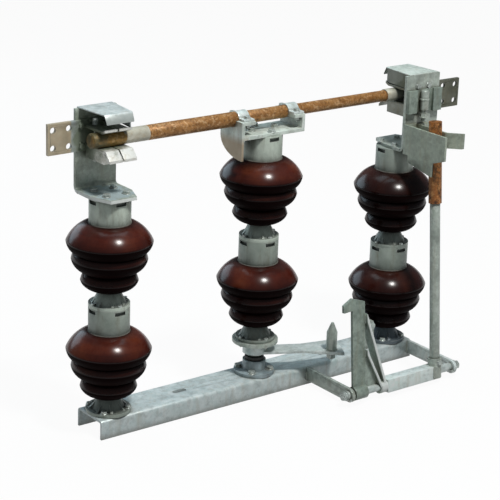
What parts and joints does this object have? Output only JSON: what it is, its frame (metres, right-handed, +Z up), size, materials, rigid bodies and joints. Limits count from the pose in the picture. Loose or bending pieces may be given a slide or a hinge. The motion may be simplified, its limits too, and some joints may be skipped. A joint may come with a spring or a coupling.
{
  "type": "double-break disconnect switch pole with earthing switch",
  "caption": "Single-pole substation disconnector: porcelain post stacks on a steel channel, a copper blade turned by the middle stack into jaws at either end, and a swing-up earthing blade.",
  "frame": {"origin": "on the axis of the turning stack, at the top face of the base channel, midway between the two mounting slots", "axes": "+X along the base channel toward the earthing blade, +Z up along the turning stack, -Y toward the earthing shaft"},
  "size_m": [1.106, 0.323, 0.746],
  "materials": {
    "galvanised_channel": "hot-dip galvanised folded plate, spangled, dull",
    "galvanised_parts": "hot-dip galvanised, dull with worn edges",
    "cast_fittings": "galvanised malleable casting, slightly rough",
    "porcelain": "dark maroon-brown gloss glaze",
    "copper": "drawn copper tube, weathered and speckled",
    "tinned_contacts": "tinned copper, satin with tan stains",
    "black_seal": "matt black ring"
  },
  "bodies": {
    "base": {"base_channel": "galvanised_channel", "rotor_bearing": "galvanised_parts", "shaft_seal": "black_seal", "earth_lug": "galvanised_parts", "left_lower_fittings": "cast_fittings", "left_lower_porcelain": "porcelain", "left_upper_fittings": "cast_fittings", "left_upper_porcelain": "porcelain", "right_lower_fittings": "cast_fittings", "right_lower_porcelain": "porcelain", "right_upper_fittings": "cast_fittings", "right_upper_porcelain": "porcelain", "left_bracket": "galvanised_parts", "right_bracket": "galvanised_parts", "left_hood": "galvanised_parts", "right_hood": "galvanised_parts", "left_jaw": "tinned_contacts", "right_jaw": "tinned_contacts", "left_terminal": "tinned_contacts", "right_terminal": "tinned_contacts", "earth_block": "galvanised_parts", "earth_finger_left": "galvanised_parts", "earth_finger_right": "galvanised_parts", "earth_arm_left": "galvanised_parts", "earth_arm_right": "galvanised_parts"},
    "rotor": {"rotor_shaft": "galvanised_parts", "drive_lever": "galvanised_parts", "drive_pin": "galvanised_parts", "centre_lower_fittings": "cast_fittings", "centre_lower_porcelain": "porcelain", "centre_upper_fittings": "cast_fittings", "centre_upper_porcelain": "porcelain", "blade_cradle": "galvanised_parts", "blade_straps": "galvanised_parts", "blade_thick_tube": "copper", "blade_thin_tube": "copper", "blade_tips": "tinned_contacts"},
    "earth_switch": {"earth_shaft": "galvanised_parts", "earth_torque_bar": "galvanised_parts", "earth_lever": "galvanised_parts", "earth_brace": "galvanised_parts", "earth_foot": "galvanised_parts", "earth_tube": "galvanised_parts", "earth_blade": "copper"}
  },
  "joints": [
    {"name": "main_rotor", "type": "hinge", "parent": "base", "child": "rotor", "pos_m": [0, 0, 0], "axis": [0, 0, 1], "range_deg": [0, 90]},
    {"name": "earth_swing", "type": "hinge", "parent": "base", "child": "earth_switch", "pos_m": [0, -0.207, -0.017], "axis": [1, 0, 0], "range_deg": [0, 90]}
  ]
}
